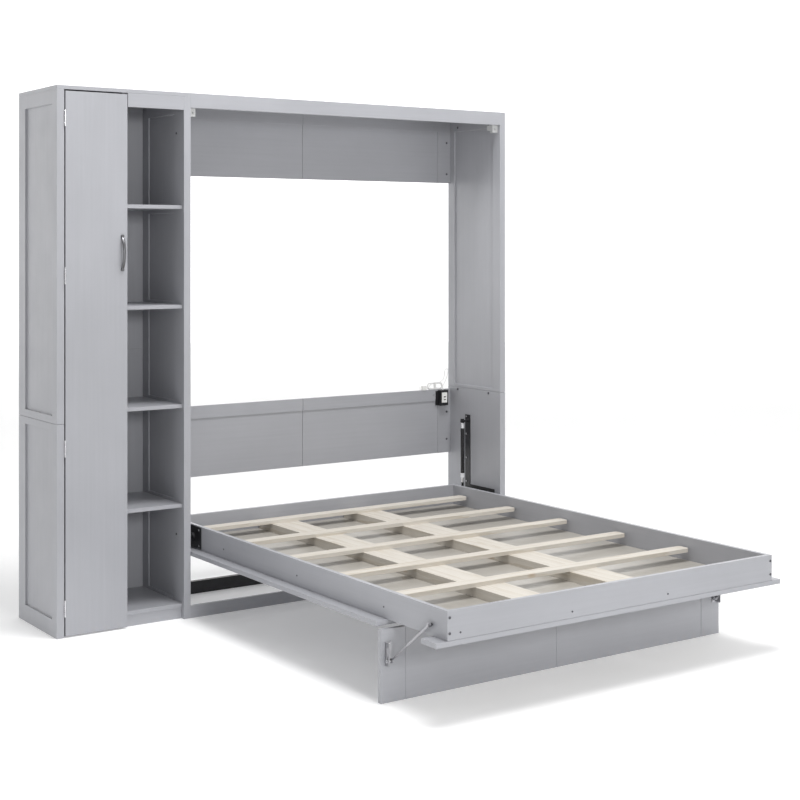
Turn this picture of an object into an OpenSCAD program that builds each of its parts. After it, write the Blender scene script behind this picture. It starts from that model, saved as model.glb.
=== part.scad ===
// Wall bed with a side closet. X runs along the wall, +Y towards the wall and +Z up.
// Design coordinates start at the closet's outer left face, the cabinet's front plane and
// the floor. at_origin() then centres everything on the bounding box, floor at z = 0.

/* [Cabinet] */
// Overall width along the wall
total_w = 2322; // [2300:1:2360]
// Overall height
total_h = 2250; // [2250:1:2300]
// Depth from the front plane to the wall
depth = 430; // [425:1:450]
// Outer width of the closet
closet_w = 586; // [560:1:600]
// Thickness of the ordinary boards
board = 16; // [15:0.5:18]
// Thickness of the two framed outer sides
side_t = 32; // [28:1:36]
// Depth of the framed recesses
recess = 8; // [4:1:9]
// Height of the horizontal joint in the tall sides
side_joint_z = 871; // [860:1:900]
// Vertical joint of the back rails and front panel
joint_x = 1408; // [1380:1:1440]

/* [Closet] */
// Right edge of the door
door_right = 309; // [300:1:320]
// Left edge of the door
door_left = 37.5; // [37:0.5:40]
// Vertical distance between shelf tops
shelf_pitch = 426; // [400:1:430]
// Top of the closet's bottom board
shelf_z0 = 65; // [60:1:80]
// Set-back of shelves, kick and inner rail
front_setback = 20; // [18:1:30]
// Length of the bow handle between its feet
handle_len = 150; // [120:1:180]
// How far the bow stands out from the door
handle_out = 28; // [20:1:35]

/* [Bed box] */
// Mattress width inside the rails
inner_w = 1546; // [1530:1:1550]
// Mattress length inside the rails
inner_l = 2050; // [2040:1:2055]
// Thickness of the bed rails
rail_t = 18; // [16:1:22]
// Height of the bed rails
rail_h = 101; // [90:1:104]
// Thickness of the front panel
panel_t = 18; // [16:0.5:18]
// Height of the front panel's underside with the bed down
under_z = 265; // [264:1:268]
// How far the foot edge stands in front of the cabinet
foot_out = 1780; // [1776:1:1782]
// Set-back of the foot rail behind the panel's foot edge
foot_ledge = 1.5; // [1.5:0.5:4]
// Height of the bed's pivot above the floor
pivot_z = 335; // [334:1:337]
// Width of a cross slat
slat_w = 60; // [50:1:80]
// Thickness of the cross slats
slat_t = 16; // [14:0.5:18]
// Number of cross slats
slats = 5; // [4:1:6]
// Distance between cross slats
slat_pitch = 380; // [340:1:382]
// Width of a long plank
plank_w = 138; // [100:1:150]
// Distance between the two planks' centre lines
plank_gap = 463; // [420:1:520]
// Thickness of the long planks
plank_t = 38; // [34:0.5:38]

/* [Leg] */
// Hinge line of the leg, in front of the cabinet
leg_out = 1430; // [1428:1:1432]
// Thickness of the leg panel
leg_t = 18; // [16:0.5:18]
// Bolt of the leg stay on the side rail, in front of the cabinet
stay_out = 1690; // [1686:1:1694]
// Height of the leg stay's bolt
stay_z = 322; // [322:1:326]

/* [Lift] */
// Distance from the cabinet's front to the gas spring
spring_y = 254; // [250:1:260]
// Height of the gas spring's upper pin
spring_top = 708; // [700:1:720]
// Height of the gas spring's lower pin
spring_low = 362; // [360:1:365]
// Radius of the gas cylinder
cyl_r = 10; // [9:0.5:11]

/* [Power hub] */
// Centre of the hub, from the closet's outer left face
hub_x = 2234; // [2200:1:2240]
// Centre height of the hub
hub_z = 815; // [800:1:815]
// Diameter of the power lead
lead_d = 4; // [3.5:0.5:4]

/* [Hidden] */
$fn = 48;
eps = 0.01;
grey = [0.58, 0.58, 0.60];
pale_wood = [0.86, 0.80, 0.70];
steel = [0.75, 0.75, 0.76];
black = [0.08, 0.08, 0.09];
pewter = [0.30, 0.30, 0.32];
white = [0.93, 0.93, 0.92];

bed_x0 = closet_w + board;
bed_x1 = total_w - side_t;
mid_x = (bed_x0 + bed_x1) / 2;
top_z = total_h - board;
pivot_y = pivot_z - under_z;
panel_gap = 5;
panel_x0 = bed_x0 + panel_gap;
panel_x1 = bed_x1 - panel_gap;
panel_top = under_z + panel_t;
box_x0 = mid_x - inner_w / 2 - rail_t;
box_x1 = mid_x + inner_w / 2 + rail_t;
foot_y = -foot_out;
box_y0 = foot_y + foot_ledge;
box_y1 = box_y0 + inner_l + 2 * rail_t;
rail_top = panel_top + rail_h;
panel_head_y = 349;
rail_low_z = pivot_z + pivot_y + foot_out + 2;
floor_rail_h = 54;
bottom_t = 4;
bottom_z = panel_top + 1.5;
plank_z = bottom_z + bottom_t;
slat_z = plank_z + plank_t;
closet_in0 = side_t;
closet_in1 = closet_w - board;
part_x = door_right - 13;
back_t = 8;
back_y = depth - 18;
rear_t = 16;
rear_y = depth - 2 - rear_t;
header_z = 1914;
headboard_z0 = 531;
headboard_z1 = 857;

leg_y = -leg_out;
leg_z = under_z - 5;
leg_back = leg_y - 5;
leg_top = leg_z - 1.5;
panel_cut_y = leg_y + 7;
strip_y = leg_y - leg_z - 3;
leg_hinge_x = [760, 1190, 1700, 2130];
groove_x = [711, joint_x, 2181];

door_hinge_z = [120, 770, 1474, 2117];
door_axis_x = closet_in0 + 2.75;
door_axis_y = -3.6;
door_z0 = 6;
door_z1 = top_z - 6;

arm_t = 4;
plate_t = 3;
spring_x = 40;
shelf_z = [for (i = [1:4]) shelf_z0 + i * shelf_pitch];

slot_y = leg_back - leg_t - 14;
slot_z0 = 150;
slot_z1 = 195;
stay_x = 13;
stay_dy = slot_y + stay_out;
stay_dz = stay_z - slot_z0;
stay_len = sqrt(stay_dy * stay_dy + stay_dz * stay_dz);
stay_ang = atan2(stay_dz, stay_dy);
stay_body = 148;
stay_rod = 158;
stay_mid = box_x0 - stay_x;

// ---- helpers ----

module at_origin() {
  translate([-total_w / 2, (foot_out - depth) / 2, 0]) children();
}

// Box from its low corner to its high corner.
module box(a, b) {
  translate(a) cube(b - a);
}

// Cylinder along X from x0 to x1.
module rod_x(x0, x1, y, z, r) {
  translate([x0, y, z]) rotate([0, 90, 0]) cylinder(h = x1 - x0, r = r);
}

// Cylinder along Y from y0 to y1.
module rod_y(x, y0, y1, z, r) {
  translate([x, y0, z]) rotate([-90, 0, 0]) cylinder(h = y1 - y0, r = r);
}

// Mirror image across the middle of the bed.
module other_side() {
  translate([2 * mid_x, 0, 0]) mirror([1, 0, 0]) children();
}

// Upright board between two corners with a framed recess in one X face.
// face is -1 for the low X face and 1 for the high one; win is [y0, y1, z0, z1].
module framed_side(a, b, face, win, d) {
  x0 = face < 0 ? a[0] - 1 : b[0] - d;
  x1 = face < 0 ? a[0] + d : b[0] + 1;
  difference() {
    box(a, b);
    box([x0, win[0], win[2]], [x1, win[1], win[3]]);
  }
}

// ---- closet ----

module closet_side_left_upper() {
  color(grey) at_origin()
    framed_side([0, 0, side_joint_z], [side_t, depth, top_z], -1,
                [52, depth - 76, 902, 2176], recess);
}

module closet_side_left_lower() {
  color(grey) at_origin()
    framed_side([0, 0, 0], [side_t, depth, side_joint_z - 1], -1,
                [52, depth - 76, 71, 840], recess);
}

module closet_side_right() {
  color(grey) at_origin() difference() {
    box([closet_in1, 0, 0], [closet_w, depth, top_z]);
    for (i = [0:4])
      box([closet_in1 - 1, 96, shelf_z0 + i * shelf_pitch + 12],
          [closet_in1 + 5, back_y - 60, shelf_z0 + (i + 1) * shelf_pitch - 32]);
  }
}

module closet_top() {
  color(grey) at_origin() box([0, 0, top_z], [closet_w, depth, total_h]);
}

module closet_bottom() {
  color(grey) at_origin() union() {
    box([closet_in0, front_setback, shelf_z0 - board], [closet_in1, back_y, shelf_z0]);
    box([closet_in0, front_setback + 4, 0],
        [closet_in1, front_setback + 4 + board, shelf_z0 - board + eps]);
    box([closet_in0, back_y - 40, 0], [closet_in1, back_y - 24, shelf_z0 - board + eps]);
  }
}

module closet_partition() {
  color(grey) at_origin()
    box([part_x, front_setback, shelf_z0], [part_x + board, back_y, top_z]);
}

module closet_top_rail() {
  color(grey) at_origin()
    box([part_x + board, 0, rail_low_z - 11], [closet_in1, board, top_z]);
}

module closet_back() {
  mid_z = 1132;
  color(grey) at_origin() union() {
    box([closet_in0, back_y, 0], [closet_in1, back_y + back_t, mid_z - 1]);
    box([closet_in0, back_y, mid_z + 1], [closet_in1, back_y + back_t, top_z]);
  }
}

module open_shelves() {
  color(grey) at_origin() for (z = shelf_z)
    box([part_x + board, front_setback, z - board], [closet_in1, back_y, z]);
}

module inner_shelves() {
  color(grey) at_origin() for (i = [0, 1, 3])
    box([closet_in0, front_setback + 10, shelf_z[i] - board], [part_x, back_y, shelf_z[i]]);
}

// ---- door ----

module door_panel() {
  color(grey) at_origin() difference() {
    box([door_left, 0, door_z0], [door_right, board, door_z1]);
    for (z = door_hinge_z) box([door_left - 1, -1, z - 34.5], [door_left + 0.02, board + 1, z + 34.5]);
  }
}

// Bow handle: an arc of flat-oval section on two round feet.
module door_handle() {
  hx = door_right - 23;
  hz = 1566;
  r = (handle_len * handle_len / 4 + handle_out * handle_out) / (2 * handle_out);
  a = asin(handle_len / 2 / r);
  color(pewter) at_origin() union() {
    difference() {
      translate([hx, r - handle_out, hz]) rotate([0, 90, 0]) rotate([0, 0, -90 - a])
        rotate_extrude(angle = 2 * a, $fn = 120) translate([r - 4, 0]) union() {
          square([7, 6], center = true);
          for (s = [-3, 3]) translate([0, s]) circle(r = 3.5, $fn = 24);
        }
      box([hx - 20, 0, hz - 150], [hx + 20, 200, hz + 150]);
    }
    for (s = [-1, 1]) rod_y(hx, -8, 0, hz + s * (handle_len / 2 - 5), 6.5);
  }
}

// One barrel section of a butt hinge along Z with its leaf.
module door_knuckle(z0, z1) {
  translate([door_axis_x, door_axis_y, z0]) cylinder(h = z1 - z0, r = 3.2);
}

module door_hinge_frame_leaves() {
  color(steel) at_origin() for (z = door_hinge_z) {
    box([closet_in0, door_axis_y, z - 34], [closet_in0 + 1.6, 24, z - 13]);
    box([closet_in0, 1, z - 13.5], [closet_in0 + 1.6, 24, z + 13.5]);
    box([closet_in0, door_axis_y, z + 13], [closet_in0 + 1.6, 24, z + 34]);
    door_knuckle(z - 34, z - 12);
    door_knuckle(z + 12, z + 34);
    translate([door_axis_x, door_axis_y, z - 34.8]) cylinder(h = 69.6, r = 1.5);
    for (s = [-24, 0, 24]) rod_x(closet_in0 + 1.5, closet_in0 + 2.1, 15, z + s, 2.8);
  }
}

module door_hinge_door_leaves() {
  lx = door_left - 1.6;
  color(steel) at_origin() for (z = door_hinge_z) difference() {
    union() {
      box([lx, 1, z - 34], [door_left, board - 1, z + 34]);
      box([lx, door_axis_y, z - 11.5], [door_left, 2, z + 11.5]);
      door_knuckle(z - 11.5, z + 11.5);
    }
    translate([door_axis_x, door_axis_y, z - 12]) cylinder(h = 24, r = 1.56);
  }
}

module door_catch() {
  color(white) at_origin() for (z = [620, 1566]) difference() {
    box([part_x - 14, board + 2.2, z - 20], [part_x, board + 22, z + 20]);
    rod_x(part_x - 15, part_x - 9, board + 14, z, 3);
  }
}

module door_strike() {
  color(steel) at_origin() for (z = [620, 1566])
    box([part_x - 13, board, z - 16], [part_x - 1, board + 1.5, z + 16]);
}

// ---- bed cabinet ----

module bed_side_left() {
  color(grey) at_origin() difference() {
    box([closet_w, 0, 0], [bed_x0, depth, total_h]);
    box([bed_x0 - 5, 60, 886], [bed_x0 + 1, rear_y - 36, 2176]);
  }
}

module bed_side_right_upper() {
  color(grey) at_origin() difference() {
    framed_side([bed_x1, 0, side_joint_z], [total_w, depth, total_h], -1,
                [60, rear_y - 36, 886, 2176], recess);
    box([total_w - recess, 60, 902], [total_w + 1, depth - 76, 2176]);
  }
}

module bed_side_right_lower() {
  color(grey) at_origin()
    framed_side([bed_x1, 0, 0], [total_w, depth, side_joint_z - 1], 1,
                [60, depth - 76, 71, 840], recess);
}

module bed_top() {
  color(grey) at_origin() box([bed_x0, board, top_z], [bed_x1, depth, total_h]);
}

module bed_top_rail() {
  color(grey) at_origin() box([bed_x0, 0, rail_low_z], [bed_x1, board, total_h]);
}

// Two boards side by side with raised stiles beside the recess.
module back_rail(z0, z1, win_z0, win_z1) {
  for (s = [[bed_x0, joint_x - 1], [joint_x + 1, bed_x1]]) difference() {
    box([s[0], rear_y, z0], [s[1], rear_y + rear_t, z1]);
    if (s[0] == bed_x0)
      box([s[0] + 78, rear_y - 1, win_z0], [s[1] + 1, rear_y + 5, win_z1]);
    else
      box([s[0] - 1, rear_y - 1, win_z0], [s[1] - 78, rear_y + 5, win_z1]);
  }
}

module wall_holes(z) {
  for (x = [mid_x - 740, mid_x + 740]) rod_y(x, rear_y - 1, rear_y + rear_t + 1, z, 3.25);
}

module header() {
  color(grey) at_origin() difference() {
    back_rail(header_z, top_z, header_z - 1, 2176);
    wall_holes(2200);
  }
}

module headboard() {
  color(grey) at_origin() difference() {
    back_rail(headboard_z0, headboard_z1, headboard_z0 - 1, 799);
    wall_holes(828);
  }
}

module floor_rail_front() {
  color(grey) at_origin() box([bed_x0, 0, 0], [bed_x1, board, floor_rail_h]);
}

// Square steel tube on the floor between the two sides.
module floor_rail_rear() {
  color(black) at_origin() difference() {
    box([bed_x0, depth - 38, 0], [bed_x1, depth - 12, 57]);
    box([bed_x0 + 30, depth - 36, 2], [bed_x1 - 30, depth - 14, 55]);
  }
}

module bumper() {
  difference() {
    box([bed_x0, panel_t + 1.5, rail_low_z - 36], [bed_x0 + 32, panel_t + 46, rail_low_z]);
    rod_y(bed_x0 + 18, panel_t, panel_t + 8, rail_low_z - 20, 4);
    box([bed_x0 + 14, panel_t + 12, rail_low_z - 37], [bed_x0 + 33, panel_t + 47, rail_low_z - 24]);
  }
}

module corner_bumpers() {
  color(white) at_origin() {
    bumper();
    other_side() bumper();
  }
}

// Bolt heads that join the halves of the sides and the back rails to them.
module connector_bolts() {
  color(pewter) at_origin() {
    for (y = [93, 347], z = [859, 2196]) {
      rod_x(bed_x1 - 1.8, bed_x1, y, z, 6);
      rod_x(bed_x0, bed_x0 + 1.8, y, z, 6);
    }
    for (x = [bed_x0 + 24, bed_x1 - 24], z = [600, 740, 1960, 2120])
      rod_y(x, rear_y - 1.5, rear_y, z, 5.5);
    for (z = [353, 2080]) rod_x(closet_in1 - 1.5, closet_in1, 73, z, 5);
  }
}

// ---- lift mechanism, drawn on the right and mirrored to the left ----

// Post and foot in one plate, with the bed's pivot pin and the spring's upper pin.
module lift_plate() {
  px = bed_x1 - plate_t;
  color(black) union() {
    box([px, 241, 300], [bed_x1, 281, 737]);
    box([px, 44, 306], [bed_x1, 242, 388]);
    rod_x(box_x1 + 1, px + eps, pivot_y, pivot_z, 8);
    rod_x(px - 5, px + eps, pivot_y, pivot_z, 15);
    rod_x(bed_x1 - spring_x - 8, px + eps, spring_y, spring_top, 5);
    rod_x(px - 9, px + eps, spring_y, spring_top, 9);
    for (z = [728, 640, 520, 400]) rod_x(px - 2, px + eps, 270, z, 4);
    for (y = [130, 180, 225]) rod_x(px - 2, px + eps, y, 358, 4);
  }
}

module gas_cylinder() {
  cx = bed_x1 - spring_x;
  color(black) difference() {
    union() {
      translate([cx, spring_y, 424]) cylinder(h = 249, r = cyl_r);
      translate([cx, spring_y, 673 - eps]) cylinder(h = 24, r = 6);
      rod_x(cx - 5, cx + 5, spring_y, spring_top, 12);
    }
    translate([cx, spring_y, 420]) cylinder(h = 248, r = 5.6);
    rod_x(cx - 6, cx + 6, spring_y, spring_top, 5.05);
  }
}

module gas_rod() {
  cx = bed_x1 - spring_x;
  color(steel) union() {
    translate([cx, spring_y, 400]) cylinder(h = 264, r = 5);
    translate([cx, spring_y, spring_low + 8]) cylinder(h = 30, r = 6);
    rod_x(cx - 5, cx + 5, spring_y, spring_low, 11);
  }
}

// Plate on the bed's side rail with the pivot boss and the stud for the spring.
module bed_arm() {
  ax = box_x1;
  color(black) difference() {
    union() {
      box([ax, 4, panel_top + 6], [ax + arm_t, 240, rail_top - 4]);
      hull() {
        rod_x(ax, ax + arm_t, 236, panel_top + 24, 18);
        rod_x(ax, ax + arm_t, spring_y, spring_low, 14);
        rod_x(ax, ax + arm_t, 236, rail_top - 22, 18);
      }
      rod_x(ax, ax + 16, pivot_y, pivot_z, 16);
      rod_x(ax, bed_x1 - spring_x - 6.5, spring_y, spring_low, 5);
      for (y = [18, 106, 150, 206], z = [panel_top + 18, rail_top - 16])
        rod_x(ax, ax + arm_t + 1.5, y, z, 5);
    }
    rod_x(ax - 1, ax + 17, pivot_y, pivot_z, 8.06);
  }
}

module lift_plate_right() { at_origin() lift_plate(); }
module lift_plate_left() { at_origin() other_side() lift_plate(); }
module gas_cylinder_right() { at_origin() gas_cylinder(); }
module gas_cylinder_left() { at_origin() other_side() gas_cylinder(); }
module gas_rod_right() { at_origin() gas_rod(); }
module gas_rod_left() { at_origin() other_side() gas_rod(); }
module bed_arm_right() { at_origin() bed_arm(); }
module bed_arm_left() { at_origin() other_side() bed_arm(); }

// ---- bed ----

module head_rail() {
  color(grey) at_origin() box([box_x0, box_y1 - rail_t, panel_top], [box_x1, box_y1, rail_top]);
}

module foot_rail() {
  color(grey) at_origin() box([box_x0, box_y0, panel_top], [box_x1, box_y0 + rail_t, rail_top]);
}

module side_rail_left() {
  color(grey) at_origin()
    box([box_x0, box_y0 + rail_t, panel_top], [box_x0 + rail_t, box_y1 - rail_t, rail_top]);
}

module side_rail_right() {
  color(grey) at_origin()
    box([box_x1 - rail_t, box_y0 + rail_t, panel_top], [box_x1, box_y1 - rail_t, rail_top]);
}

// Three thin boards side by side between the rails.
module bottom_board() {
  x0 = box_x0 + rail_t;
  w = inner_w / 3;
  color(grey) at_origin() for (i = [0:2])
    box([x0 + i * w + 2, box_y0 + rail_t, bottom_z],
        [x0 + (i + 1) * w - 2, box_y1 - rail_t, bottom_z + bottom_t]);
}

module round_ended(x0, x1, y, z, w, t) {
  r = 14;
  translate([0, 0, z]) linear_extrude(t) difference() {
    translate([x0, y - w / 2]) square([x1 - x0, w]);
    for (sx = [-1, 1], sy = [-1, 1])
      translate([sx < 0 ? x0 : x1, y + sy * w / 2]) difference() {
        square(2 * r, center = true);
        translate([-sx * r, -sy * r]) circle(r = r);
      }
  }
}

module cross_slats() {
  color(pale_wood) at_origin() for (i = [0:slats - 1])
    round_ended(box_x0 + rail_t + 9, box_x1 - rail_t - 9, 190 - i * slat_pitch, slat_z,
                slat_w, slat_t);
}

module long_planks() {
  x = mid_x - 51.5;
  color(pale_wood) at_origin() for (s = [-1, 1])
    box([x + (s * plank_gap - plank_w) / 2, -1618, plank_z],
        [x + (s * plank_gap + plank_w) / 2, 280, slat_z]);
}

// Grooves in the face that becomes the cabinet's front.
module panel_grooves() {
  for (x = [groove_x[0], groove_x[2]])
    box([x - 2, foot_y - 1, under_z - 1], [x + 2, panel_head_y + 1, under_z + 2]);
}

module front_panel_left() {
  color(grey) at_origin() difference() {
    box([panel_x0, panel_cut_y, under_z], [joint_x - 0.75, panel_head_y, panel_top]);
    panel_grooves();
  }
}

module front_panel_right() {
  color(grey) at_origin() difference() {
    box([joint_x + 0.75, panel_cut_y, under_z], [panel_x1, panel_head_y, panel_top]);
    panel_grooves();
  }
}

module front_panel_foot() {
  color(grey) at_origin() difference() {
    box([panel_x0, foot_y, under_z], [panel_x1, strip_y, panel_top]);
    panel_grooves();
  }
}

// Screw heads in the foot rail, and the bolts of the leg stays on the side rails.
module bed_screws() {
  color(pewter) at_origin() {
    for (x = [box_x0 + 9, box_x1 - 9], z = [rail_top - 23, panel_top + 25])
      rod_y(x, box_y0 - 1.5, box_y0, z, 5);
    for (x = [709, 1203, 1671]) rod_y(x, box_y0 - 1.2, box_y0, panel_top + 23, 3.5);
    for (y = [-1400, -800, -200]) {
      rod_x(box_x0 - 1.2, box_x0, y, panel_top + 40, 3.5);
      rod_x(box_x1, box_x1 + 1.2, y, panel_top + 40, 3.5);
    }
    stay_bolt();
    other_side() stay_bolt();
  }
}

// Stub of the stay's upper bolt, which ends just short of the stay's eye.
module stay_bolt() {
  rod_x(stay_mid + 6.1, box_x0, -stay_out, stay_z, 5);
}

// ---- leg ----

// Leg hinges: a leaf on the panel's cut edge, the outer two knuckles and the pin.
module leg_hinge_panel_leaves() {
  color(steel) at_origin() for (x = leg_hinge_x) {
    box([x - 30, panel_cut_y - 1.5, under_z + 0.5], [x + 30, panel_cut_y, panel_top - 1]);
    for (s = [-1, 1]) {
      rod_x(x + s * 20 - 10, x + s * 20 + 10, leg_y, leg_z, 2.9);
      box([x + s * 20 - 10, leg_y, leg_z + 1.4],
          [x + s * 20 + 10, panel_cut_y - 1.5, leg_z + 2.9]);
      box([x + s * 20 - 10, panel_cut_y - 3, leg_z + 1.4],
          [x + s * 20 + 10, panel_cut_y - 1.5, leg_z + 10]);
    }
    rod_x(x - 30, x + 30, leg_y, leg_z, 1.4);
  }
}

module leg_panel() {
  color(grey) at_origin() difference() {
    box([panel_x0, leg_back - leg_t, 0], [panel_x1, leg_back, leg_top]);
    for (x = groove_x)
      box([x - 2, leg_back - leg_t - 1, -1], [x + 2, leg_back - leg_t + 2, leg_top + 1]);
    for (x = groove_x) box([x - 2, leg_back - 2, -1], [x + 2, leg_back + 1, leg_top + 1]);
  }
}

// Slotted angle bracket on the leg's front face.
module slot_bracket() {
  face = leg_back - leg_t;
  fx = stay_mid - 18;
  difference() {
    union() {
      box([fx, face - 26, 132], [fx + 2.5, face, 214]);
      box([fx, face - 2.5, 132], [fx + 26, face, 214]);
      for (z = [139, 207]) rod_y(fx + 15, face - 4, face, z, 4);
    }
    rod_x(fx - 1, fx + 4, slot_y, slot_z0, 4.6);
    rod_x(fx - 1, fx + 4, slot_y, slot_z1, 4.6);
    box([fx - 1, slot_y - 4.6, slot_z0], [fx + 4, slot_y + 4.6, slot_z1]);
  }
}

// Leaves and centre knuckles of the leg's hinges, and the two slotted brackets.
module leg_hardware() {
  color(pewter) at_origin() {
    for (x = leg_hinge_x) difference() {
      union() {
        box([x - 30, leg_back - leg_t + 1, leg_top], [x + 30, leg_back, leg_top + 1.2]);
        box([x - 9, leg_back - 1, leg_top], [x + 9, leg_y, leg_top + 1.2]);
        rod_x(x - 9, x + 9, leg_y, leg_z, 2.9);
      }
      rod_x(x - 10, x + 10, leg_y, leg_z, 1.46);
    }
    slot_bracket();
    other_side() slot_bracket();
  }
}

// Places the stay along Z with its upper eye at the origin and the rod pointing down.
module stay_place(x) {
  translate([x, -stay_out, stay_z]) rotate([90 - stay_ang, 0, 0]) children();
}

// The spacer s is on the side away from the bed: -1 on the left, 1 on the right.
module stay_cylinder(x, s) {
  color(steel) at_origin() stay_place(x) difference() {
    union() {
      rod_x(-3.5, 3.5, 0, 0, 9);
      rod_x(s * 5 - 2, s * 5 + 2, 0, 0, 7);
      translate([0, 0, -stay_body - 10]) cylinder(h = stay_body + 4, r = 5.5);
    }
    translate([0, 0, -stay_body - 11]) cylinder(h = stay_body - 6, r = 3.3);
  }
}

module stay_rod_piece(x) {
  color(pewter) at_origin() stay_place(x) difference() {
    union() {
      translate([0, 0, 5 - stay_len]) cylinder(h = stay_rod, r = 2.8);
      rod_x(-3, 3, 0, -stay_len, 7.5);
    }
    rod_x(-4, 4, 0, -stay_len, 4.06);
  }
}

// Pin through the bracket's slot and the rod's eye, with a head and a retaining ring.
module stay_pin() {
  color(steel) union() {
    rod_x(stay_mid - 21, stay_mid + 5, slot_y, slot_z0, 4);
    rod_x(stay_mid - 21.5, stay_mid - 18.5, slot_y, slot_z0, 6.5);
    rod_x(stay_mid + 3.4, stay_mid + 5, slot_y, slot_z0, 6);
  }
}

module stay_cylinder_left() { stay_cylinder(stay_mid, -1); }
module stay_cylinder_right() { stay_cylinder(2 * mid_x - stay_mid, 1); }
module stay_rod_left() { stay_rod_piece(stay_mid); }
module stay_rod_right() { stay_rod_piece(2 * mid_x - stay_mid); }
module stay_pin_left() { at_origin() stay_pin(); }
module stay_pin_right() { at_origin() other_side() stay_pin(); }

// ---- power hub on the lower back rail ----

lead_start = [hub_x, rear_y - 12, hub_z + 41];
lead_route = [
  [hub_x, 402, 866], [hub_x + 4, 405, 874], [hub_x + 14, 409, 886], [hub_x + 25, 411, 900],
  [hub_x + 32, 411, 916], [hub_x + 37, 411, 934], [hub_x + 41, 411, 948],
  [hub_x + 39, 412, 958], [hub_x + 31, 414, 960], [hub_x + 24, 415, 952],
  [hub_x + 22, 416, 938], [hub_x + 20, 417, 922], [hub_x + 15, 418, 909],
  [hub_x + 8, 420, 900], [hub_x + 2, 422, 895], [hub_x - 4, 424, 892]
];

module hub_bracket() {
  y0 = rear_y - 26;
  color(black) at_origin() difference() {
    union() {
      box([hub_x - 38, rear_y - 2.5, hub_z - 39], [hub_x + 38, rear_y, hub_z + 34]);
      box([hub_x - 23, y0, hub_z - 39], [hub_x + 23, rear_y, hub_z + 39]);
      for (s = [-1, 1], dz = [-22, 20]) rod_y(hub_x + s * 31, rear_y - 4.5, rear_y, hub_z + dz, 3.6);
    }
    box([hub_x - 17, y0 - 1, hub_z - 25], [hub_x + 17, rear_y + 1, hub_z + 27]);
    translate([hub_x, rear_y - 12, hub_z + 20]) cylinder(h = 30, r = 4.5);
  }
}

module power_hub() {
  y0 = rear_y - 27;
  color(white) at_origin() union() {
    difference() {
      box([hub_x - 16.5, y0, hub_z - 24.5], [hub_x + 16.5, rear_y, hub_z + 26.5]);
      for (dz = [-12, 2]) box([hub_x - 6.5, y0 - 1, hub_z + dz], [hub_x + 6.5, y0 + 12, hub_z + dz + 6]);
    }
    translate([hub_x, rear_y - 12, hub_z + 26]) cylinder(h = 15, r = 4);
  }
}

function unit(v) = v / norm(v);
function tangent(p, i) = unit(p[min(i + 1, len(p) - 1)] - p[max(i - 1, 0)]);
function ring(c, t, r, n) =
  let (side = unit(cross([0.05, 1, 0.02], t)), up = cross(t, side))
  [for (k = [0:n - 1]) c + r * (cos(360 * k / n) * side + sin(360 * k / n) * up)];

// Round tube through a list of points.
module tube(p, r, n) {
  pts = [for (i = [0:len(p) - 1]) each ring(p[i], tangent(p, i), r, n)];
  last = (len(p) - 1) * n;
  sides = [for (i = [0:len(p) - 2], k = [0:n - 1])
    each [[i * n + k, i * n + (k + 1) % n, (i + 1) * n + (k + 1) % n],
          [i * n + k, (i + 1) * n + (k + 1) % n, (i + 1) * n + k]]];
  ends = [[for (k = [n - 1:-1:0]) k], [for (k = [0:n - 1]) last + k]];
  polyhedron(points = pts, faces = concat(sides, ends));
}

module power_lead() {
  color(white) at_origin() tube(concat([lead_start], lead_route), lead_d / 2, 8);
}

// Folded bundle of the rest of the lead, standing on the back rail's top edge.
module lead_hank() {
  w = 96;
  h = 36;
  color(white) at_origin() translate([hub_x - 36, rear_y + 15, headboard_z1])
    rotate([90, 0, 0]) linear_extrude(14) difference() {
      union() {
        translate([-w / 2 + h / 2, 0]) square([w - h, h]);
        for (s = [-1, 1]) translate([s * (w - h) / 2, h / 2]) circle(r = h / 2);
      }
      for (s = [-1, 1]) translate([s * (w - h) / 2, h / 2]) circle(r = 10);
      translate([-(w - h) / 2, h / 2 - 10]) square([w - h, 20]);
    }
}

module lead_plug() {
  x1 = hub_x - 97;
  z = headboard_z1 + 12;
  color(white) at_origin() union() {
    box([x1 - 24, rear_y - 4, z - 12], [x1, rear_y + 12, z + 10]);
    translate([x1 - eps, rear_y + 4, z]) rotate([0, 90, 0]) cylinder(h = 14, r1 = 4.2, r2 = 2.8);
    for (s = [-1, 1]) box([x1 - 40, rear_y + 3, z - 2 + s * 5], [x1 - 23, rear_y + 4.5, z + 2 + s * 5]);
  }
}

closet_side_left_upper();
closet_side_left_lower();
closet_side_right();
closet_top();
closet_bottom();
closet_partition();
closet_top_rail();
closet_back();
open_shelves();
inner_shelves();
door_panel();
door_handle();
door_hinge_frame_leaves();
door_hinge_door_leaves();
door_catch();
door_strike();
bed_side_left();
bed_side_right_upper();
bed_side_right_lower();
bed_top();
bed_top_rail();
header();
headboard();
floor_rail_front();
floor_rail_rear();
corner_bumpers();
connector_bolts();
lift_plate_left();
lift_plate_right();
gas_cylinder_left();
gas_cylinder_right();
gas_rod_left();
gas_rod_right();
head_rail();
foot_rail();
side_rail_left();
side_rail_right();
bottom_board();
cross_slats();
long_planks();
front_panel_left();
front_panel_right();
front_panel_foot();
bed_arm_left();
bed_arm_right();
bed_screws();
leg_hinge_panel_leaves();
leg_panel();
leg_hardware();
stay_cylinder_left();
stay_cylinder_right();
stay_rod_left();
stay_rod_right();
stay_pin_left();
stay_pin_right();
hub_bracket();
power_hub();
power_lead();
lead_hank();
lead_plug();
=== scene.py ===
"""Looks of the wall bed: finishes, fasteners, the power lead, stage, lights and camera."""
import math

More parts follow.
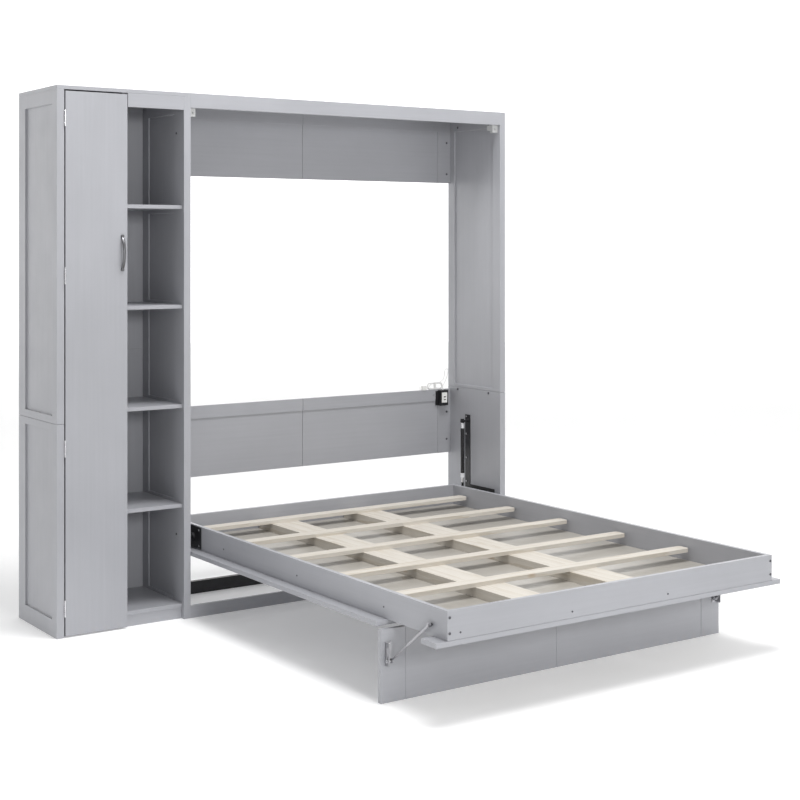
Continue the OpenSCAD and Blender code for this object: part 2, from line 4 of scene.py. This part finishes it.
import bmesh
import bpy
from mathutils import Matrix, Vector


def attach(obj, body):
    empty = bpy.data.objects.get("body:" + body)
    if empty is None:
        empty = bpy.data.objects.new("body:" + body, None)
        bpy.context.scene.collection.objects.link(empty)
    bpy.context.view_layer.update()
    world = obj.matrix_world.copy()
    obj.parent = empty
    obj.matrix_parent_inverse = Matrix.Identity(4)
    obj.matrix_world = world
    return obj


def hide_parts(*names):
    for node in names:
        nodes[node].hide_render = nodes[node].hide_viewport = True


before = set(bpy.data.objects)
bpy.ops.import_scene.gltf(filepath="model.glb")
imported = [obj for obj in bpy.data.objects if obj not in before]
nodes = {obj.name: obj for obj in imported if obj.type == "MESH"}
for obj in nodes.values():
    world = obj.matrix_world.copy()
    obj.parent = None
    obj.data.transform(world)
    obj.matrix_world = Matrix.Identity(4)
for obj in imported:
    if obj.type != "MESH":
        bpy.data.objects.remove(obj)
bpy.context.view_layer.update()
MM = 0.001


# ---- camera ----

def make_camera():
    data = bpy.data.cameras.new("camera")
    data.sensor_width = 36.0
    data.lens = 67.32
    data.shift_y = -0.1976
    camera = bpy.data.objects.new("camera", data)
    camera.location = (-3.4616, -5.1068, 1.6119)
    camera.rotation_euler = (math.radians(90), 0, math.radians(-34.62))
    bpy.context.scene.collection.objects.link(camera)
    bpy.context.scene.camera = camera


make_camera()


def row(x, y, z):
    """Point in metres from the CAD source's design coordinates in millimetres."""
    return Vector(((x - 1161) * MM, (y + 675) * MM, z * MM))


def add_piece(name, mesh, finish=None, smooth=False):
    """New object in the scene with the mesh, and its material if one is given."""
    piece = bpy.data.objects.new(name, mesh)
    bpy.context.scene.collection.objects.link(piece)
    if finish:
        mesh.materials.append(finish)
    if smooth:
        for face in mesh.polygons:
            face.use_smooth = True
    return piece


# ---- power lead: its route, then the turns of its hank ----

# Middle of the hub and the lead's diameter; the lead leaves from the hub's top.
HUB_X = 2234
LEAD_D = 4.0
# Route from the hub as (sideways from the hub, Y, Z).
LEAD_ROUTE = [
    (0, 400, 856), (0, 402, 866), (4, 405, 874), (14, 409, 886), (25, 411, 900), (32, 411, 916),
    (37, 411, 934), (41, 411, 948), (39, 412, 958), (31, 414, 960), (24, 415, 952), (22, 416, 938),
    (20, 417, 922), (15, 418, 909), (8, 420.5, 900), (2, 422.6, 895), (-5, 424, 892.2), (-13, 424.1, 891),
]
# Middle of the hank (X, Z), half of its straight runs, and its outer and inner turns.
HANK = (HUB_X - 36, 875)
HANK_HALF = 30
HANK_OUTER, HANK_INNER = 16, 12
# Depths of its back, middle and front layers.
HANK_BACK, HANK_MID, HANK_FRONT = 424.1, 420.0, 415.9


def hank_points():
    """Two layers of turns that run in and out, then the way out to the plug at the left."""
    middle, level = HANK

    def arc(side, r0, r1, y):
        points = []
        for i in range(13):
            a = math.pi * i / 12
            r = r0 + (r1 - r0) * i / 12
            if side < 0:
                points.append((middle - HANK_HALF - r * math.sin(a), y, level + r * math.cos(a)))
            else:
                points.append((middle + HANK_HALF + r * math.sin(a), y, level - r * math.cos(a)))
        return points

    def run(x_sign, r, y0, y1):
        z = level - r if x_sign > 0 else level + r
        return [(middle + x_sign * HANK_HALF * k, y0 + (y1 - y0) * (k + 1) / 2, z)
                for k in (-0.6, -0.2, 0.2, 0.6)]

    back, mid, front = HANK_BACK, HANK_MID, HANK_FRONT
    outer, inner = HANK_OUTER, HANK_INNER
    points = [(middle - 2, back, level + outer), (middle - 16, back, level + outer)]
    points += arc(-1, outer, outer, back) + run(1, outer, back, back) + arc(1, outer, inner, back)
    points += run(-1, inner, back, back) + arc(-1, inner, inner, back) + run(1, inner, back, mid)
    points += arc(1, inner, inner, mid) + run(-1, inner, mid, mid) + arc(-1, inner, outer, mid)
    points += run(1, outer, mid, mid) + arc(1, outer, outer, mid)
    way_out = ((18, 419.2, outer), (4, 417.8, outer), (-10, 416.2, 15.8), (-20, front, 13.6),
               (-28, front, 9), (-34, front, 3.5), (-40, front, -2.4), (-47, 416, -5.6), (-54, 416, -6))
    return points + [(middle + x, y, level + z) for x, y, z in way_out]


def make_lead():
    route = [(HUB_X + x, y, z) for x, y, z in LEAD_ROUTE] + hank_points()
    data = bpy.data.curves.new("lead_run", "CURVE")
    data.dimensions = "3D"
    data.bevel_depth = LEAD_D / 2 * MM
    data.bevel_resolution = 5
    data.use_fill_caps = True
    line = data.splines.new("POLY")
    fine = smooth_line([row(*p) for p in route], 4)
    line.points.add(len(fine) - 1)
    for point, place in zip(line.points, fine):
        point.co = (*place, 1.0)
    line.use_smooth = True
    line_object = add_piece("lead_line", data)
    bpy.context.view_layer.update()
    mesh = bpy.data.meshes.new_from_object(line_object.evaluated_get(bpy.context.evaluated_depsgraph_get()))
    bpy.data.objects.remove(line_object)
    return add_piece("lead_run", mesh, smooth=True), fine


def smooth_line(points, steps):
    """Centripetal-like Catmull-Rom curve through the points."""
    line = []
    for i in range(len(points) - 1):
        p0, p1 = points[max(i - 1, 0)], points[i]
        p2, p3 = points[i + 1], points[min(i + 2, len(points) - 1)]
        d1, d2 = (p2 - p0), (p3 - p1)
        span = (p2 - p1).length
        m1 = d1 * (span / max((p1 - p0).length + span, 1e-9)) if i else (p2 - p1)
        m2 = d2 * (span / max((p3 - p2).length + span, 1e-9)) if i + 2 < len(points) else (p2 - p1)
        for k in range(steps):
            u = k / steps
            line.append((2 * u ** 3 - 3 * u ** 2 + 1) * p1 + (u ** 3 - 2 * u ** 2 + u) * m1
                        + (3 * u ** 2 - 2 * u ** 3) * p2 + (u ** 3 - u ** 2) * m2)
    line.append(points[-1])
    return line


def make_tie():
    """Flat strap round all the runs at the hank's middle."""
    middle, level = HANK
    half_width, thick = 3.5, 0.7
    half_deep, half_high = 6.3, 18.1

    def squared(value):
        """Circle to rounded rectangle."""
        return math.copysign(abs(value) ** 0.4, value)

    turns = [2 * math.pi * i / 40 for i in range(40)]
    outline = [(squared(math.cos(a)), squared(math.sin(a))) for a in turns]
    mesh = bpy.data.meshes.new("lead_tie")
    verts, faces = [], []
    for dx in (-half_width, half_width):
        for grow in (0.0, thick):
            verts += [row(middle + dx, HANK_MID + c * (half_deep + grow), level + s * (half_high + grow))
                      for c, s in outline]
    n = len(outline)
    for k in range(n):
        j = (k + 1) % n
        faces += [(k, j, 2 * n + j, 2 * n + k), (n + k, 3 * n + k, 3 * n + j, n + j),
                  (k, n + k, n + j, j), (2 * n + k, 2 * n + j, 3 * n + j, 3 * n + k)]
    mesh.from_pydata(verts, [], faces)
    mesh.update()
    return add_piece("lead_tie", mesh)


lead, lead_line = make_lead()
lead_tie = make_tie()
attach(lead, "cabinet")
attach(lead_tie, "cabinet")
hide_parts("power_lead", "lead_hank")


# ---- node materials ----

def srgb(r, g, b):
    """Linear colour from 0 to 255 display values."""
    def linear(v):
        v /= 255
        return v / 12.92 if v <= 0.04045 else ((v + 0.055) / 1.055) ** 2.4
    return (linear(r), linear(g), linear(b), 1.0)


class Shader:
    """A Principled material with short calls that add and link nodes."""

    def __init__(self, name, roughness, metallic=0.0, specular=0.5):
        self.material = bpy.data.materials.new(name)
        self.material.use_nodes = True
        self.tree = self.material.node_tree
        self.surface = self.tree.nodes["Principled BSDF"]
        self.surface.inputs["Roughness"].default_value = roughness
        self.surface.inputs["Metallic"].default_value = metallic
        self.surface.inputs["Specular IOR Level"].default_value = specular
        self.place = self.add("ShaderNodeTexCoord").outputs["Object"]

    def add(self, kind, **values):
        node = self.tree.nodes.new(kind)
        for key, value in values.items():
            setattr(node, key, value)
        return node

    def link(self, a, b):
        self.tree.links.new(a, b)

    def stretched(self, scale, source=None):
        node = self.add("ShaderNodeMapping")
        node.inputs["Scale"].default_value = scale
        self.link(source or self.place, node.inputs["Vector"])
        return node.outputs["Vector"]

    def noise(self, scale, detail=3.0, rough=0.5, vector=None, distortion=0.0):
        node = self.add("ShaderNodeTexNoise")
        node.inputs["Scale"].default_value = scale
        node.inputs["Detail"].default_value = detail
        node.inputs["Roughness"].default_value = rough
        node.inputs["Distortion"].default_value = distortion
        self.link(vector or self.place, node.inputs["Vector"])
        return node.outputs["Fac"]

    def ramp(self, value, *stops):
        node = self.add("ShaderNodeValToRGB")
        elements = node.color_ramp.elements
        while len(elements) < len(stops):
            elements.new(0.5)
        for element, (position, colour) in zip(elements, stops):
            element.position = position
            element.color = colour
        self.link(value, node.inputs["Fac"])
        return node.outputs["Color"]

    def remap(self, value, low, high, out_low, out_high):
        node = self.add("ShaderNodeMapRange")
        for key, number in (("From Min", low), ("From Max", high),
                            ("To Min", out_low), ("To Max", out_high)):
            node.inputs[key].default_value = number
        self.link(value, node.inputs["Value"])
        return node.outputs["Result"]

    def mix(self, factor, a, b, kind="MIX"):
        node = self.add("ShaderNodeMix", data_type="RGBA", blend_type=kind)
        for value, socket in ((factor, node.inputs[0]), (a, node.inputs[6]), (b, node.inputs[7])):
            if isinstance(value, bpy.types.NodeSocket):
                self.link(value, socket)
            else:
                socket.default_value = value
        return node.outputs[2]

    def math(self, kind, a, b=0.0):
        node = self.add("ShaderNodeMath", operation=kind)
        for value, socket in ((a, node.inputs[0]), (b, node.inputs[1])):
            if isinstance(value, bpy.types.NodeSocket):
                self.link(value, socket)
            else:
                socket.default_value = value
        return node.outputs[0]

    def axis(self, which):
        node = self.add("ShaderNodeSeparateXYZ")
        self.link(self.place, node.inputs[0])
        return node.outputs[which]

    def colour(self, value):
        self.link(value, self.surface.inputs["Base Color"])

    def rough(self, value):
        self.link(value, self.surface.inputs["Roughness"])

    def bump(self, height, strength, distance):
        node = self.add("ShaderNodeBump")
        node.inputs["Strength"].default_value = strength
        node.inputs["Distance"].default_value = distance
        self.link(height, node.inputs["Height"])
        self.link(node.outputs["Normal"], self.surface.inputs["Normal"])


def lacquer(name, base, gloss, grain_along):
    """Sprayed satin lacquer: fine orange peel, faint telegraphed grain, small clouds of tone."""
    s = Shader(name, gloss)
    darker = tuple(c * 0.95 for c in base[:3]) + (1.0,)
    lighter = tuple(min(c * 1.045, 1.0) for c in base[:3]) + (1.0,)
    clouds = s.noise(1.7, 4.0, 0.55)
    stretch = [90.0, 90.0, 90.0]
    stretch[grain_along] = 2.2
    grain = s.noise(1.0, 3.0, 0.6, s.stretched(stretch))
    tone = s.ramp(clouds, (0.32, darker), (0.68, lighter))
    grain_tone = s.ramp(grain, (0.25, (0.965, 0.965, 0.965, 1)), (0.75, (1.02, 1.02, 1.02, 1)))
    s.colour(s.mix(1.0, tone, grain_tone, "MULTIPLY"))
    s.rough(s.remap(s.noise(9.0, 5.0, 0.6), 0.3, 0.7, gloss - 0.05, gloss + 0.07))
    peel = s.noise(420.0, 2.0, 0.5)
    height = s.math("ADD", peel, s.math("MULTIPLY", grain, 0.6))
    s.bump(height, 0.16, 0.0004)
    return s.material


def softwood(name, along):
    """Planed pale softwood with growth lines along one axis and a few small knots."""
    s = Shader(name, 0.62, specular=0.3)
    stretch = [1.0, 1.0, 1.0]
    stretch[along] = 0.055
    board = s.stretched(stretch)
    wander = s.noise(7.0, 3.0, 0.5, board, 0.4)
    rings = s.add("ShaderNodeTexWave", wave_type="BANDS", bands_direction="DIAGONAL", wave_profile="SAW")
    rings.inputs["Scale"].default_value = 13.0
    rings.inputs["Distortion"].default_value = 9.0
    rings.inputs["Detail"].default_value = 3.0
    rings.inputs["Detail Scale"].default_value = 1.6
    s.link(board, rings.inputs["Vector"])
    fibres = s.noise(260.0, 3.0, 0.6, board)
    tone = s.ramp(rings.outputs["Fac"], (0.0, srgb(208, 203, 195)), (0.62, srgb(203, 197, 188)),
                  (1.0, srgb(193, 184, 170)))
    tone = s.mix(s.remap(wander, 0.3, 0.72, 0.0, 0.6), tone, srgb(213, 209, 202))
    knots = s.add("ShaderNodeTexVoronoi", feature="F1")
    knots.inputs["Scale"].default_value = 3.1
    knot_stretch = [1.6, 1.6, 1.6]
    knot_stretch[along] = 0.8
    s.link(s.stretched(knot_stretch), knots.inputs["Vector"])
    knot = s.remap(knots.outputs["Distance"], 0.035, 0.075, 1.0, 0.0)
    tone = s.mix(s.math("MULTIPLY", knot, 0.5), tone, srgb(176, 146, 112))
    fibre_tone = s.ramp(fibres, (0.3, (0.93, 0.92, 0.9, 1)), (0.7, (1.03, 1.03, 1.02, 1)))
    s.colour(s.mix(1.0, tone, fibre_tone, "MULTIPLY"))
    s.rough(s.remap(fibres, 0.3, 0.7, 0.55, 0.72))
    s.bump(s.math("ADD", fibres, s.math("MULTIPLY", rings.outputs["Fac"], 0.5)), 0.35, 0.0005)
    return s.material


def metal(name, base, roughness, brush=(30, 30, 800), specks=0.0):
    """Plated or brushed metal with fine drawn lines and a little tarnish."""
    s = Shader(name, roughness, metallic=1.0)
    lines = s.noise(1.0, 2.0, 0.6, s.stretched(brush))
    stains = s.noise(60.0, 4.0, 0.6)
    dull = tuple(c * 0.8 for c in base[:3]) + (1.0,)
    s.colour(s.mix(s.remap(stains, 0.35, 0.75, 0.0, 0.7 + specks), base, dull))
    s.rough(s.remap(lines, 0.3, 0.7, max(roughness - 0.08, 0.04), roughness + 0.1))
    s.bump(lines, 0.08, 0.0002)
    return s.material


def powder_coat(name, base, roughness):
    """Satin powder coat with its fine grain."""
    s = Shader(name, roughness)
    grain = s.noise(900.0, 2.0, 0.6)
    wear = s.noise(38.0, 5.0, 0.65)
    lighter = tuple(min(c * 1.9 + 0.006, 1.0) for c in base[:3]) + (1.0,)
    s.colour(s.mix(s.remap(wear, 0.45, 0.8, 0.0, 0.8), base, lighter))
    s.rough(s.remap(wear, 0.3, 0.8, roughness - 0.05, roughness + 0.12))
    s.bump(grain, 0.3, 0.0003)
    return s.material


def plastic(name, base, roughness):
    """Moulded plastic with a faint texture and slow changes of gloss."""
    s = Shader(name, roughness)
    clouds = s.noise(22.0, 4.0, 0.55)
    shade = tuple(c * 0.93 for c in base[:3]) + (1.0,)
    s.colour(s.mix(s.remap(clouds, 0.35, 0.7, 0.0, 1.0), base, shade))
    s.rough(s.remap(clouds, 0.3, 0.7, roughness - 0.04, roughness + 0.08))
    s.bump(s.noise(700.0, 1.0, 0.5), 0.08, 0.0002)
    return s.material


def two_tone(name, base, roughness, metallic, other, levels):
    """One metal up to a height and another finish above or below it; levels are pairs of heights."""
    s = Shader(name, roughness, metallic=metallic)
    z = s.axis("Z")
    inside = None
    for low, high in levels:
        band = s.math("MULTIPLY", s.math("GREATER_THAN", z, low), s.math("LESS_THAN", z, high))
        inside = band if inside is None else s.math("MAXIMUM", inside, band)
    stains = s.noise(70.0, 4.0, 0.6)
    dull = tuple(c * 0.85 for c in base[:3]) + (1.0,)
    s.colour(s.mix(inside, s.mix(stains, base, dull), other))
    s.rough(s.remap(stains, 0.3, 0.7, roughness - 0.03, roughness + 0.05))
    s.bump(s.noise(500.0, 1.0, 0.5), 0.04, 0.0002)
    return s.material


GREY = srgb(165, 166, 171)
MATERIALS = {
    "lacquer_x": lacquer("lacquer_grain_x", GREY, 0.36, 0),
    "lacquer_y": lacquer("lacquer_grain_y", GREY, 0.36, 1),
    "lacquer_z": lacquer("lacquer_grain_z", GREY, 0.36, 2),
    "bottom": lacquer("bottom_board_paint", srgb(170, 166, 159), 0.34, 1),
    "wood_x": softwood("softwood_slat", 0),
    "wood_y": softwood("softwood_plank", 1),
    "zinc": metal("bright_zinc", (0.74, 0.74, 0.76, 1), 0.24),
    "pewter": metal("dark_pewter", (0.2, 0.2, 0.21, 1), 0.34, (500, 60, 60)),
    "satin_zinc": metal("satin_zinc", (0.42, 0.42, 0.44, 1), 0.42),
    "screw": metal("screw_steel", (0.12, 0.12, 0.13, 1), 0.34),
    "dark_steel": metal("dark_steel", (0.34, 0.34, 0.36, 1), 0.32),
    "black": powder_coat("black_powder_coat", (0.012, 0.012, 0.014, 1), 0.42),
    "gas_cylinder": two_tone("black_enamel", (0.012, 0.012, 0.014, 1), 0.24, 0.0, srgb(222, 223, 226),
                             ((0.423, 0.446), (0.6725, 0.699))),
    "gas_rod": two_tone("hard_chrome_rod", (0.86, 0.86, 0.88, 1), 0.12, 1.0,
                        (0.03, 0.03, 0.032, 1), ((0.3, 0.4),)),
    "lamp": plastic("green_lens", srgb(120, 190, 130), 0.25),
    "white": plastic("white_plastic", srgb(238, 238, 236), 0.3),
    "pale_rubber": plastic("pale_bumper", srgb(205, 206, 206), 0.5),
    "cable": plastic("white_cable", srgb(240, 240, 239), 0.38),
    "dark_plastic": plastic("dark_plastic", srgb(38, 38, 40), 0.4),
}

WOOD_ACROSS = ("closet_top closet_bottom closet_top_rail open_shelves inner_shelves bed_top bed_top_rail "
               "header headboard floor_rail_front head_rail foot_rail leg_panel front_panel_foot").split()
WOOD_ALONG = "side_rail_left side_rail_right front_panel_left front_panel_right".split()
FINISH = {
    "bottom_board": "bottom", "cross_slats": "wood_x", "long_planks": "wood_y",
    "door_hinge_frame_leaves": "zinc", "door_hinge_door_leaves": "zinc", "door_strike": "zinc",
    "leg_hinge_panel_leaves": "zinc", "door_handle": "pewter", "leg_hardware": "satin_zinc",
    "door_catch": "white", "corner_bumpers": "pale_rubber", "power_hub": "white",
    "floor_rail_rear": "black", "lift_plate_left": "black", "lift_plate_right": "black",
    "bed_arm_left": "black", "bed_arm_right": "black", "hub_bracket": "black",
    "gas_cylinder_left": "gas_cylinder", "gas_cylinder_right": "gas_cylinder",
    "gas_rod_left": "gas_rod", "gas_rod_right": "gas_rod",
    "stay_cylinder_left": "satin_zinc", "stay_cylinder_right": "satin_zinc",
    "stay_rod_left": "dark_steel", "stay_rod_right": "dark_steel",
    "stay_pin_left": "zinc", "stay_pin_right": "zinc",
    "connector_bolts": "pewter", "bed_screws": "pewter", "lead_plug": "white",
    "power_lead": "cable", "lead_hank": "cable",
}
# Nodes with thin or small features, which get the finer of the two edge widths.
BOARDS = {"bottom_board", "cross_slats", "long_planks", "floor_rail_rear"}
SMALL = (set(FINISH) | {"header", "headboard"}) - BOARDS
FINE_EDGE, BOARD_EDGE = 0.0003, 0.0011


def finish_of(name):
    if name in FINISH:
        return FINISH[name]
    if name in WOOD_ACROSS:
        return "lacquer_x"
    return "lacquer_y" if name in WOOD_ALONG else "lacquer_z"


def dress_node(name, thing):
    """Gives a CAD node its finish and soft edges, as modifiers on its unchanged mesh."""
    material = MATERIALS[finish_of(name)]
    thing.data.materials.clear()
    thing.data.materials.append(material)
    weld = thing.modifiers.new("weld", "WELD")
    weld.merge_threshold = 0.00002
    bevel = thing.modifiers.new("edges", "BEVEL")
    bevel.width = FINE_EDGE if name in SMALL else BOARD_EDGE
    bevel.segments = 2
    bevel.limit_method = "ANGLE"
    bevel.angle_limit = math.radians(40)
    bevel.harden_normals = True
    normals = thing.modifiers.new("normals", "WEIGHTED_NORMAL")
    normals.keep_sharp = True


for node_name, node_object in nodes.items():
    dress_node(node_name, node_object)
lead.data.materials.append(MATERIALS["cable"])
lead_tie.data.materials.append(MATERIALS["white"])


# ---- cross-recessed caps on the screw heads ----

def loose_parts(thing):
    """Low and high corner of each separate solid of a node."""
    work = bmesh.new()
    work.from_mesh(thing.data)
    bmesh.ops.remove_doubles(work, verts=work.verts, dist=0.00001)
    work.verts.ensure_lookup_table()
    seen, parts = set(), []
    for start in work.verts:
        if start.index in seen:
            continue
        stack, group = [start], []
        seen.add(start.index)
        while stack:
            v = stack.pop()
            group.append(thing.matrix_world @ v.co)
            for edge in v.link_edges:
                other = edge.other_vert(v)
                if other.index not in seen:
                    seen.add(other.index)
                    stack.append(other)
        parts.append((Vector([min(p[i] for p in group) for i in range(3)]),
                      Vector([max(p[i] for p in group) for i in range(3)])))
    work.free()
    return parts


def screw_cap(verts, faces, place, axis, radius):
    """Low dome with a cross recess, looking along axis, added to a mesh's lists."""
    rings, spokes, rise = 9, 32, radius * 0.26
    side = Vector((0, 0, 1))
    up = axis.cross(side)
    first = len(verts)
    arm, reach = radius * 0.13, radius * 0.6
    for i in range(1, rings + 1):
        r = radius * i / rings
        for k in range(spokes):
            a = 2 * math.pi * (k + 0.5) / spokes
            u, v = r * math.cos(a), r * math.sin(a)
            level = rise * math.cos(math.pi / 2 * (i / rings) ** 2)
            if r < reach and min(abs(u), abs(v)) < arm:
                level -= radius * 0.4 * (1 - r / reach) + radius * 0.08
            verts.append(place + side * u + up * v + axis * level)
    centre = len(verts)
    verts.append(place + axis * (rise - radius * 0.48))
    for k in range(spokes):
        j = (k + 1) % spokes
        faces.append((centre, first + k, first + j))
        for i in range(rings - 1):
            a, b = first + i * spokes, first + (i + 1) * spokes
            faces.append((a + k, b + k, b + j, a + j))


def add_caps(name, body, spots, finish):
    """One mesh of caps; a spot is a place, a direction and a radius."""
    verts, faces = [], []
    for place, axis, radius in spots:
        screw_cap(verts, faces, place, axis, radius)
    mesh = bpy.data.meshes.new(name)
    mesh.from_pydata(verts, [], faces)
    mesh.update()
    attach(add_piece(name, mesh, MATERIALS[finish], smooth=True), body)


def cap_screws(name, node, body, outward):
    """Caps on all the disc-shaped solids of a node."""
    spots = []
    for low, high in loose_parts(nodes[node]):
        size = high - low
        along = min(range(3), key=lambda i: size[i])
        across = sorted(size)[1:]
        if size[along] > 0.0025 or across[1] - across[0] > 0.001:
            continue
        middle = (low + high) / 2
        axis = Vector((0, 0, 0))
        axis[along] = outward(along, middle)
        middle[along] = high[along] if axis[along] > 0 else low[along]
        spots.append((middle, axis, across[0] * 0.46))
    add_caps(name, body, spots, "screw")


def cabinet_side(along, middle):
    if along == 1:
        return -1
    return 1 if -0.57 < middle.x < 0 else -1


def bed_side(along, middle):
    return -1 if along == 1 or middle.x < 0.285 else 1


cap_screws("connector_caps", "connector_bolts", "cabinet", cabinet_side)
cap_screws("bed_screw_caps", "bed_screws", "bed", bed_side)

# Middle of the bed, and how far out from it the screwed faces of the steel parts are.
MID_X = 1446
PLATE_OUT, ARM_OUT, SLOT_BRACKET_OUT = 839, 796.5, 807
SLOT_BRACKET_FACE_Y = -1457
CAP_R, ARM_CAP_R = 0.0038, 0.0046


def cap_steel_parts(side, label):
    """Caps on the lift plate, bed arm and slotted bracket of one side."""
    inward, outward, forward = Vector((-side, 0, 0)), Vector((side, 0, 0)), Vector((0, -1, 0))
    plate_x = MID_X + side * PLATE_OUT
    arm_x = MID_X + side * ARM_OUT
    bracket_x = MID_X + side * SLOT_BRACKET_OUT
    spots = [(row(plate_x, 270, z), inward, CAP_R) for z in (728, 640, 520, 400)]
    spots += [(row(plate_x, y, 358), inward, CAP_R) for y in (130, 180, 225)]
    add_caps("lift_plate_caps_" + label, "cabinet", spots, "zinc")
    spots = [(row(arm_x, y, z), outward, ARM_CAP_R) for y in (18, 106, 150, 206) for z in (301, 368)]
    add_caps("bed_arm_caps_" + label, "bed", spots, "zinc")
    spots = [(row(bracket_x, SLOT_BRACKET_FACE_Y, z), forward, CAP_R) for z in (139, 207)]
    add_caps("slot_bracket_caps_" + label, "leg", spots, "zinc")


cap_steel_parts(1, "right")
cap_steel_parts(-1, "left")


# ---- tongue in the joint of the closet's two back boards ----

JOINT_Z0, JOINT_Z1 = 1.13099, 1.13301
TONGUE_RECESS = 0.0008


def make_back_tongue():
    """Thin strip between the back boards, a little behind their faces."""
    low, high = loose_parts(nodes["closet_back"])[0]
    verts = [Vector((x, y, z)) for z in (JOINT_Z0, JOINT_Z1)
             for y in (low.y + TONGUE_RECESS, high.y - TONGUE_RECESS) for x in (low.x, high.x)]
    faces = [(0, 1, 5, 4), (1, 3, 7, 5), (3, 2, 6, 7), (2, 0, 4, 6), (0, 2, 3, 1), (4, 5, 7, 6)]
    mesh = bpy.data.meshes.new("back_tongue")
    mesh.from_pydata(verts, [], faces)
    mesh.update()
    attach(add_piece("back_tongue", mesh, MATERIALS["lacquer_x"]), "cabinet")


make_back_tongue()


# ---- rounded face and sockets of the power hub ----

def rounded_plate(name, x, z, w, h, y, depth, corner, finish):
    """Upright plate with round corners and a softened rim, its back at y."""
    outline = []
    for cx, cz, start in ((1, 1, 0), (-1, 1, 90), (-1, -1, 180), (1, -1, 270)):
        for i in range(9):
            a = math.radians(start + 90 * i / 8)
            outline.append((cx * (w / 2 - corner), cz * (h / 2 - corner), math.cos(a), math.sin(a)))
    levels = ((0.0, 0.0), (0.7, 0.0), (0.92, -0.35), (1.0, -1.0))
    n = len(outline)
    verts, faces = [], []
    for share, shrink in levels:
        verts += [row(x + ox + ca * (corner + shrink), y - depth * share, z + oz + sa * (corner + shrink))
                  for ox, oz, ca, sa in outline]
    for i in range(len(levels) - 1):
        for k in range(n):
            j = (k + 1) % n
            faces.append((i * n + k, i * n + j, (i + 1) * n + j, (i + 1) * n + k))
    faces.append(tuple(range((len(levels) - 1) * n, len(levels) * n)))
    faces.append(tuple(range(n - 1, -1, -1)))
    mesh = bpy.data.meshes.new(name)
    mesh.from_pydata(verts, [], faces)
    mesh.update()
    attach(add_piece(name, mesh, MATERIALS[finish]), "cabinet")


rounded_plate("hub_face", HUB_X, 816, 31, 49, 385.2, 2.0, 6.0, "white")
for level in (806, 820):
    rounded_plate("hub_socket_rim_%d" % level, HUB_X, level, 17, 9, 383.3, 0.6, 2.0, "white")
    rounded_plate("hub_socket_%d" % level, HUB_X, level, 12.6, 5.2, 382.8, 0.4, 1.0, "dark_plastic")
rounded_plate("hub_lamp", HUB_X, 834, 4, 2.4, 383.3, 0.5, 1.1, "lamp")


# ---- stage and light ----

def make_floor():
    half = 40.0
    mesh = bpy.data.meshes.new("floor")
    corners = [(-half, -half, 0), (half, -half, 0), (half, half, 0), (-half, half, 0)]
    mesh.from_pydata(corners, [], [(0, 1, 2, 3)])
    s = Shader("floor_paint", 0.8, specular=0.2)
    s.colour(s.ramp(s.noise(0.5, 3.0), (0.3, srgb(243, 243, 243)), (0.7, srgb(247, 247, 247))))
    s.surface.inputs["Emission Color"].default_value = (1.0, 1.0, 1.0, 1.0)
    s.surface.inputs["Emission Strength"].default_value = 0.18
    add_piece("floor", mesh, s.material)


def make_backdrop():
    """Tall white paper curve behind and to the right of the bed, evenly lit."""
    radius, tall, steps = 18, 14.0, 40
    mesh = bpy.data.meshes.new("backdrop")
    verts, faces = [], []
    for i in range(steps + 1):
        a = math.radians(-30 + 180 * i / steps)
        for height in (0.0, tall):
            verts.append((radius * math.cos(a), radius * math.sin(a), height))
    for i in range(steps):
        faces.append((2 * i, 2 * i + 1, 2 * i + 3, 2 * i + 2))
    mesh.from_pydata(verts, [], faces)
    s = Shader("backdrop_paper", 0.9, specular=0.1)
    s.colour(s.ramp(s.noise(0.3, 2.0), (0.3, srgb(240, 240, 240)), (0.7, srgb(246, 246, 246))))
    s.surface.inputs["Emission Color"].default_value = (1.0, 1.0, 1.0, 1.0)
    s.surface.inputs["Emission Strength"].default_value = 0.75
    add_piece("backdrop", mesh, s.material)


def make_light(name, place, target, size, power):
    data = bpy.data.lights.new(name, "AREA")
    data.shape = "RECTANGLE"
    data.size, data.size_y = size
    data.energy = power
    light = bpy.data.objects.new(name, data)
    light.location = place
    light.rotation_euler = (Vector(target) - Vector(place)).to_track_quat("-Z", "Y").to_euler()
    bpy.context.scene.collection.objects.link(light)


def make_world():
    world = bpy.data.worlds.new("studio")
    world.use_nodes = True
    background = world.node_tree.nodes["Background"]
    background.inputs["Color"].default_value = (1.0, 1.0, 1.0, 1.0)
    background.inputs["Strength"].default_value = 0.45
    bpy.context.scene.world = world
    bpy.context.scene.view_settings.view_transform = "Standard"


make_floor()
make_backdrop()
make_world()
make_light("key", (-0.9, -6.5, 2.5), (-0.3, 0.4, 1.0), (1.2, 0.9), 125)
make_light("top", (0.0, -0.9, 5.8), (0.4, -0.3, 0.3), (2.4, 2.0), 225)
